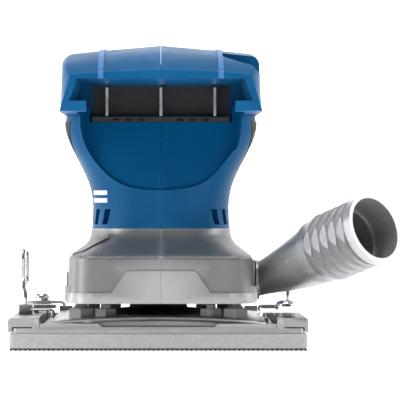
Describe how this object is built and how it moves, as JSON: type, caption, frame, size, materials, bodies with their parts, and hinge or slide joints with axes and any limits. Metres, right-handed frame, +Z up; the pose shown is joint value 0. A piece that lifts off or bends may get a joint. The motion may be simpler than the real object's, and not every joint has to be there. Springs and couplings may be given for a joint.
{
  "type": "orbital sander",
  "caption": "Palm-grip battery sander: blue motor housing with battery slot, silver casing with ribbed dust outlet, and an orbiting quarter-sheet plate with wire-lever paper clamps.",
  "frame": {"origin": "the face of the hook sheet that meets the work, under the motor shaft's axis", "axes": "+Z up along the motor shaft, -Y towards the battery slot, +X towards the side with the dust outlet"},
  "size_m": [0.149, 0.1266, 0.1183],
  "materials": {
    "body_blue": "satin",
    "grip_rubber": "matte",
    "cast_silver": "satin",
    "outlet_silver": "satin",
    "black_plastic": "satin",
    "bright_metal": "polished",
    "plate_metal": "satin",
    "steel": "brushed",
    "foam_grey": "matte",
    "hook_black": "matte",
    "boot_rubber": "matte",
    "foot_rubber": "satin",
    "copper": "satin",
    "board_green": "satin",
    "label_white": "matte",
    "blade_metal": "satin"
  },
  "bodies": {
    "housing": {"housing_left": "body_blue", "housing_right": "body_blue", "grip_left": "grip_rubber", "grip_right": "grip_rubber", "casing_left": "cast_silver", "casing_right": "cast_silver", "dust_outlet": "outlet_silver", "outlet_seal": "boot_rubber", "terminal_holder": "black_plastic", "contact_blades": "blade_metal", "control_board": "board_green", "board_components": "black_plastic", "stator_core": "steel", "stator_windings": "copper", "stator_insulator": "label_white", "upper_bearing": "steel", "lower_bearing": "steel", "bearing_plate": "cast_silver", "switch_body": "black_plastic", "dial_base": "black_plastic", "housing_screws": "steel", "casing_screws": "steel", "label_plate": "label_white"},
    "rotor": {"motor_shaft": "steel", "rotor_core": "steel", "rotor_magnets": "black_plastic", "cooling_fan": "black_plastic", "counterweight": "steel", "eccentric_hub": "steel", "bearing_circlip": "steel"},
    "pad": {"hook_sheet": "hook_black", "foam_pad": "foam_grey", "base_plate": "plate_metal", "dust_hood": "plate_metal", "plate_screws": "steel", "foot_screws": "steel", "elastic_foot_1": "foot_rubber", "elastic_foot_2": "foot_rubber", "elastic_foot_3": "foot_rubber", "elastic_foot_4": "foot_rubber", "stop_nuts": "foot_rubber", "drive_boot": "boot_rubber", "eccentric_bearing": "steel", "jaw_rod_left": "steel", "jaw_rod_right": "steel", "clamp_spring_left": "steel", "clamp_spring_right": "steel"},
    "clamp_left": {"clamp_jaw_left": "plate_metal", "clamp_lever_left": "bright_metal", "clamp_strap_left": "bright_metal", "strap_screw_left": "bright_metal"},
    "clamp_right": {"clamp_jaw_right": "plate_metal", "clamp_lever_right": "bright_metal", "clamp_strap_right": "bright_metal", "strap_screw_right": "bright_metal"},
    "switch": {"switch_button": "black_plastic"},
    "dial": {"speed_dial": "black_plastic"}
  },
  "joints": [
    {"name": "motor_spin", "type": "hinge", "parent": "housing", "child": "rotor", "pos_m": [0, 0, 0.05], "axis": [0, 0, 1], "continuous": true},
    {"name": "pad_orbit", "type": "hinge", "parent": "rotor", "child": "pad", "pos_m": [-0.001, 0, 0.0115], "axis": [0, 0, 1], "continuous": true},
    {"name": "clamp_left_open", "type": "hinge", "parent": "pad", "child": "clamp_left", "pos_m": [-0.0474, 0, 0.0112], "axis": [0, 1, 0], "range_deg": [0, 6.5], "stiffness_Nm_per_rad": 0.4, "springref_deg": -20.05},
    {"name": "clamp_right_open", "type": "hinge", "parent": "pad", "child": "clamp_right", "pos_m": [0.0454, 0, 0.0112], "axis": [0, -1, 0], "range_deg": [0, 6.5], "stiffness_Nm_per_rad": 0.4, "springref_deg": -20.05},
    {"name": "switch_slide", "type": "slide", "parent": "housing", "child": "switch", "axis": [1, 0, 0], "range_m": [0, 0.004]},
    {"name": "dial_turn", "type": "hinge", "parent": "housing", "child": "dial", "pos_m": [0, 0.031, 0.08], "axis": [1, 0, 0], "range_deg": [0, 270]}
  ],
  "couplings": [
    {"joint": "pad_orbit", "follows": "motor_spin", "ratio": -1}
  ]
}
